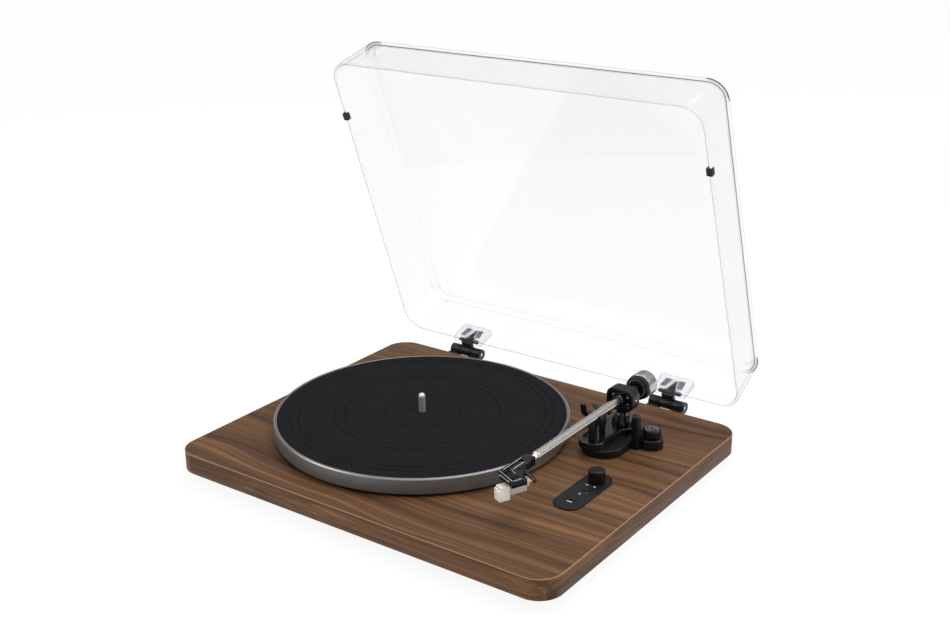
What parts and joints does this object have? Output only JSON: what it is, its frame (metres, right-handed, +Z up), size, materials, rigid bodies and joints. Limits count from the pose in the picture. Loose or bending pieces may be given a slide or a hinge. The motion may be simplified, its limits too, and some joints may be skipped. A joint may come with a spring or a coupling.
{
  "type": "turntable record player",
  "caption": "Belt-driven record player: walnut slab plinth, platter with rubber mat, straight tonearm on a gimbal, control strip and hinged clear dust cover.",
  "frame": {"origin": "centre of the bounding box at the feet's underside, with the dust cover open", "axes": "+X to the tonearm side, +Y to the back where the cover hinges, +Z up"},
  "size_m": [0.44, 0.4204, 0.3956],
  "materials": {
    "plinth": "satin walnut veneer",
    "bottom_cover": "matt",
    "base_screws": "blackened",
    "feet": "matt",
    "bearing_housing": "turned",
    "thrust_ball": "polished",
    "motor_can": "plated",
    "motor_shaft": "ground",
    "motor_pulley": "turned",
    "drive_belt": "matt",
    "platter": "dark satin with a bright rim edge",
    "slip_mat": "matt",
    "spindle": "ground",
    "control_panel": "satin",
    "power_led": "amber lens",
    "speed_knob": "satin",
    "start_button": "satin",
    "stop_button": "satin",
    "control_board": "green board",
    "rotary_switch": "matt",
    "tact_switches": "matt",
    "main_board": "green board",
    "board_parts": "mixed",
    "jack_plate": "matt",
    "rca_sockets": "plated",
    "ground_post": "nickel plated",
    "dc_inlet": "matt",
    "line_switch": "matt",
    "arm_base_lower": "gloss",
    "arm_base_upper": "gloss",
    "arm_bearing": "turned",
    "antiskate_bracket": "satin",
    "antiskate_collar": "satin",
    "antiskate_dial": "satin",
    "arm_rest": "satin",
    "cue_housing": "satin",
    "cue_platform": "matt",
    "cue_lever": "satin",
    "arm_yoke": "gloss",
    "gimbal_ring": "satin black",
    "gimbal_screws": "ground",
    "gimbal_block": "satin black",
    "arm_tube": "brushed",
    "rear_stub": "black",
    "headshell": "satin black",
    "headshell_screws": "plated",
    "finger_lift": "satin black",
    "cartridge_body": "dark grey",
    "cartridge_pins": "cream",
    "stylus_guard": "milky clear",
    "stylus": "cream",
    "counterweight": "brushed",
    "force_ring": "matt",
    "hinge_brackets": "satin",
    "hinge_pins": "ground",
    "hinge_screws": "blackened",
    "hinge_tongues": "satin",
    "hinge_sockets": "clear",
    "lid_shell": "clear",
    "lid_bumpers": "matt"
  },
  "bodies": {
    "base": {"plinth": "plinth", "bottom_cover": "bottom_cover", "base_screws": "base_screws", "feet": "feet", "bearing_housing": "bearing_housing", "thrust_ball": "thrust_ball", "motor_can": "motor_can", "drive_belt": "drive_belt", "control_panel": "control_panel", "power_led": "power_led", "control_board": "control_board", "rotary_switch": "rotary_switch", "tact_switches": "tact_switches", "main_board": "main_board", "board_parts": "board_parts", "jack_plate": "jack_plate", "rca_sockets": "rca_sockets", "ground_post": "ground_post", "dc_inlet": "dc_inlet", "arm_base_lower": "arm_base_lower", "arm_base_upper": "arm_base_upper", "arm_bearing": "arm_bearing", "antiskate_bracket": "antiskate_bracket", "antiskate_collar": "antiskate_collar", "arm_rest": "arm_rest", "cue_housing": "cue_housing", "hinge_brackets": "hinge_brackets", "hinge_pins": "hinge_pins", "hinge_screws": "hinge_screws"},
    "platter": {"platter": "platter", "slip_mat": "slip_mat", "spindle": "spindle"},
    "pulley": {"motor_pulley": "motor_pulley", "motor_shaft": "motor_shaft"},
    "lid": {"lid_shell": "lid_shell", "lid_bumpers": "lid_bumpers", "hinge_sockets": "hinge_sockets", "hinge_tongues": "hinge_tongues"},
    "yoke": {"arm_yoke": "arm_yoke", "gimbal_ring": "gimbal_ring", "gimbal_screws": "gimbal_screws"},
    "tonearm": {"gimbal_block": "gimbal_block", "arm_tube": "arm_tube", "rear_stub": "rear_stub", "headshell": "headshell", "headshell_screws": "headshell_screws", "finger_lift": "finger_lift", "cartridge_body": "cartridge_body", "cartridge_pins": "cartridge_pins", "stylus_guard": "stylus_guard", "stylus": "stylus"},
    "weight": {"counterweight": "counterweight"},
    "force_dial": {"force_ring": "force_ring"},
    "lever": {"cue_lever": "cue_lever"},
    "cue_lift": {"cue_platform": "cue_platform"},
    "antiskate_knob": {"antiskate_dial": "antiskate_dial"},
    "knob": {"speed_knob": "speed_knob"},
    "start_key": {"start_button": "start_button"},
    "stop_key": {"stop_button": "stop_button"},
    "slide_switch": {"line_switch": "line_switch"}
  },
  "joints": [
    {"name": "platter_spin", "type": "hinge", "parent": "base", "child": "platter", "pos_m": [-0.0475, -0.03121, 0.033], "axis": [0, 0, 1], "continuous": true},
    {"name": "pulley_spin", "type": "hinge", "parent": "base", "child": "pulley", "pos_m": [0.04522, 0.00625, 0.033], "axis": [0, 0, 1], "continuous": true},
    {"name": "lid_hinge", "type": "hinge", "parent": "base", "child": "lid", "pos_m": [0, 0.16119, 0.0337], "axis": [-1, 0, 0], "range_deg": [-70.3, 0]},
    {"name": "arm_swing", "type": "hinge", "parent": "base", "child": "yoke", "pos_m": [0.1305, 0.06479, 0.076], "axis": [0, 0, -1], "range_deg": [0, 43]},
    {"name": "arm_lift", "type": "hinge", "parent": "yoke", "child": "tonearm", "pos_m": [0.1305, 0.06479, 0.076], "axis": [-1, 0, 0], "range_deg": [0, 5]},
    {"name": "weight_slide", "type": "slide", "parent": "tonearm", "child": "weight", "axis": [0, 1, 0], "range_m": [-0.001, 0.003]},
    {"name": "force_dial_turn", "type": "hinge", "parent": "weight", "child": "force_dial", "pos_m": [0.1305, 0.09379, 0.076], "axis": [0, 1, 0], "range_deg": [0, 350]},
    {"name": "cue_lever_turn", "type": "hinge", "parent": "base", "child": "lever", "pos_m": [0.096, 0.06279, 0.049], "axis": [-1, 0, 0], "range_deg": [0, 60]},
    {"name": "cue_rise", "type": "slide", "parent": "base", "child": "cue_lift", "axis": [0, 0, 1], "range_m": [0, 0.0024]},
    {"name": "antiskate_turn", "type": "hinge", "parent": "base", "child": "antiskate_knob", "pos_m": [0.165, 0.06279, 0.043], "axis": [0, 0, 1], "range_deg": [0, 270]},
    {"name": "speed_turn", "type": "hinge", "parent": "base", "child": "knob", "pos_m": [0.1602, -0.03321, 0.035], "axis": [0, 0, 1], "range_deg": [-45, 45]},
    {"name": "start_press", "type": "slide", "parent": "base", "child": "start_key", "axis": [0, 0, -1], "range_m": [0, 0.0008], "stiffness_N_per_m": 300, "springref_m": -0.001},
    {"name": "stop_press", "type": "slide", "parent": "base", "child": "stop_key", "axis": [0, 0, -1], "range_m": [0, 0.0008], "stiffness_N_per_m": 300, "springref_m": -0.001},
    {"name": "line_switch_slide", "type": "slide", "parent": "base", "child": "slide_switch", "axis": [1, 0, 0], "range_m": [0, 0.004]}
  ],
  "couplings": [
    {"joint": "pulley_spin", "follows": "platter_spin", "ratio": 11.156},
    {"joint": "cue_lever_turn", "follows": "cue_rise", "rad_per_m": 436.3},
    {"joint": "arm_lift", "follows": "cue_rise", "rad_per_m": 36.2}
  ]
}
